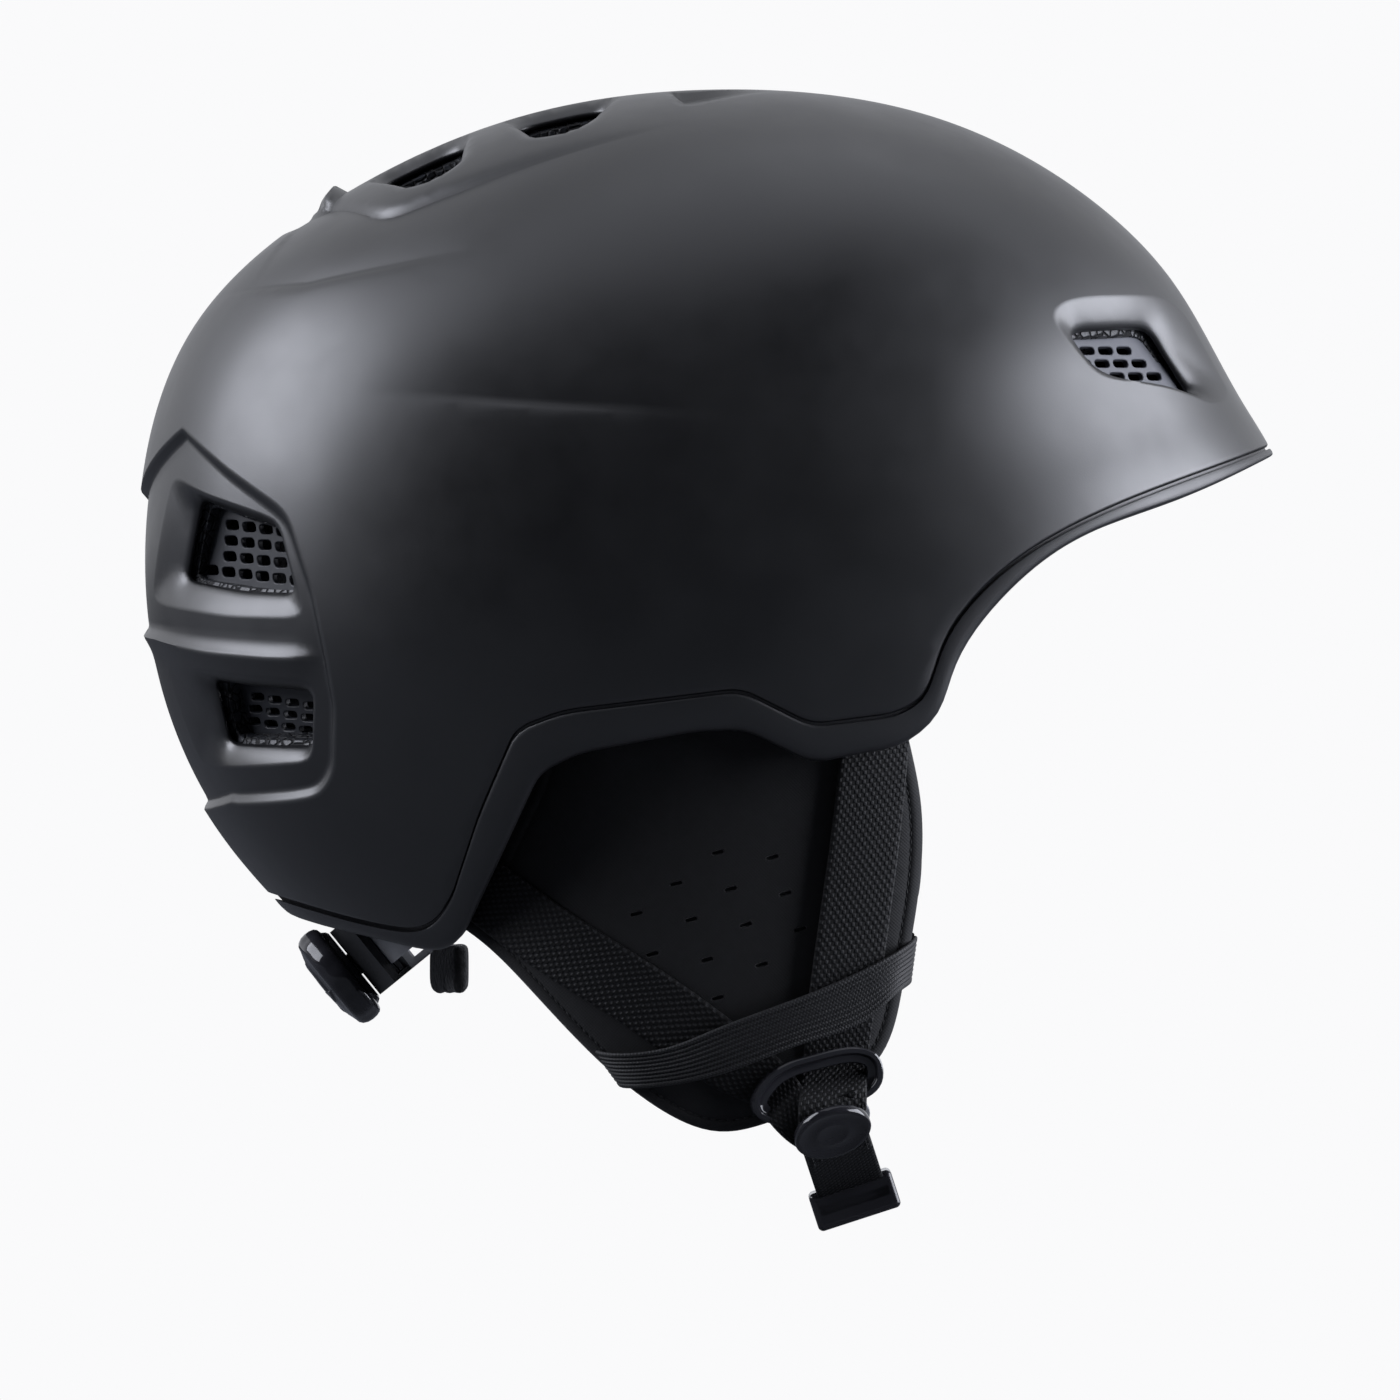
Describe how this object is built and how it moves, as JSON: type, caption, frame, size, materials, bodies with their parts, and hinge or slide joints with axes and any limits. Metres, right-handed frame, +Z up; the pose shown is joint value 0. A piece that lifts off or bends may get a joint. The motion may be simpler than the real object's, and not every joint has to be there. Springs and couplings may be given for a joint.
{
  "type": "ski helmet",
  "caption": "Hard-shell ski helmet with ear pads, chin strap and side-release buckle, perforated vents and a dial-adjusted head band",
  "frame": {"origin": "centre of the wearer's head, which is the centre of the hollow that seats it", "axes": "+X forward over the brow, +Y the wearer's left, +Z up"},
  "size_m": [0.2903, 0.2154, 0.2913],
  "materials": {
    "shell_plastic": "satin black soft-touch coat",
    "rim_plastic": "satin",
    "foam": "beaded expanded polystyrene",
    "light_grille": "moulded matt",
    "dark_grille": "moulded matt",
    "cover_fabric": "fine knit",
    "plush": "brushed",
    "webbing": "woven",
    "elastic": "ribbed",
    "black_acetal": "polished",
    "milky_plastic": "moulded translucent",
    "dark_nylon": "moulded",
    "fleece": "brushed"
  },
  "bodies": {
    "helmet": {"outer_shell": "shell_plastic", "lower_trim": "rim_plastic", "eps_liner": "foam", "buckle_socket": "black_acetal", "buckle_plug": "black_acetal", "height_rail": "black_acetal", "brow_pad": "plush", "crown_pad": "plush", "nape_liner": "plush", "side_pad_left": "plush", "side_pad_right": "plush", "ear_cover_left": "cover_fabric", "ear_cover_right": "cover_fabric", "ear_cushion_left": "plush", "ear_cushion_right": "plush", "strap_ring_left": "black_acetal", "strap_ring_right": "black_acetal", "rear_strap_left": "webbing", "rear_strap_right": "webbing", "front_strap_left": "webbing", "front_strap_right": "webbing", "strap_keeper_left": "elastic", "strap_keeper_right": "elastic", "chin_strap_left": "webbing", "chin_strap_right": "webbing", "strap_disc_left": "black_acetal", "strap_disc_right": "black_acetal", "disc_backing_left": "milky_plastic", "disc_backing_right": "milky_plastic", "front_grille_left": "light_grille", "front_grille_right": "light_grille", "rear_upper_grille_left": "dark_grille", "rear_upper_grille_right": "dark_grille", "rear_lower_grille_left": "dark_grille", "rear_lower_grille_right": "dark_grille"},
    "cradle": {"dial_housing": "milky_plastic", "cradle_back": "dark_nylon", "nape_pad": "fleece"},
    "dial": {"dial_knob": "black_acetal", "dial_pinion": "dark_nylon"},
    "left_arm": {"band_left": "milky_plastic"},
    "right_arm": {"band_right": "milky_plastic"},
    "front_tab": {"release_tab_front": "black_acetal"},
    "rear_tab": {"release_tab_rear": "black_acetal"}
  },
  "joints": [
    {"name": "cradle_height", "type": "slide", "parent": "helmet", "child": "cradle", "axis": [0.6309, 0, -0.7759], "range_m": [0, 0.012]},
    {"name": "dial_turn", "type": "hinge", "parent": "cradle", "child": "dial", "pos_m": [-0.08823, 0, -0.11548], "axis": [-0.7759, 0, -0.6309], "range_deg": [-126, 126]},
    {"name": "left_arm_slide", "type": "hinge", "parent": "cradle", "child": "left_arm", "pos_m": [-0.0184, 0, -0.0587], "axis": [0.6309, 0, -0.7759], "range_deg": [-9, 9]},
    {"name": "right_arm_slide", "type": "hinge", "parent": "cradle", "child": "right_arm", "pos_m": [-0.0184, 0, -0.0587], "axis": [0.6309, 0, -0.7759], "range_deg": [-9, 9]},
    {"name": "front_release", "type": "slide", "parent": "helmet", "child": "front_tab", "axis": [-0.9511, 0, -0.309], "range_m": [0, 0.0026], "stiffness_N_per_m": 900, "springref_m": -0.001},
    {"name": "rear_release", "type": "slide", "parent": "helmet", "child": "rear_tab", "axis": [0.9511, 0, 0.309], "range_m": [0, 0.0026]}
  ],
  "couplings": [
    {"joint": "left_arm_slide", "follows": "dial_turn", "ratio": -0.061125},
    {"joint": "right_arm_slide", "follows": "dial_turn", "ratio": 0.059952},
    {"joint": "rear_release", "follows": "front_release", "ratio": 1}
  ]
}
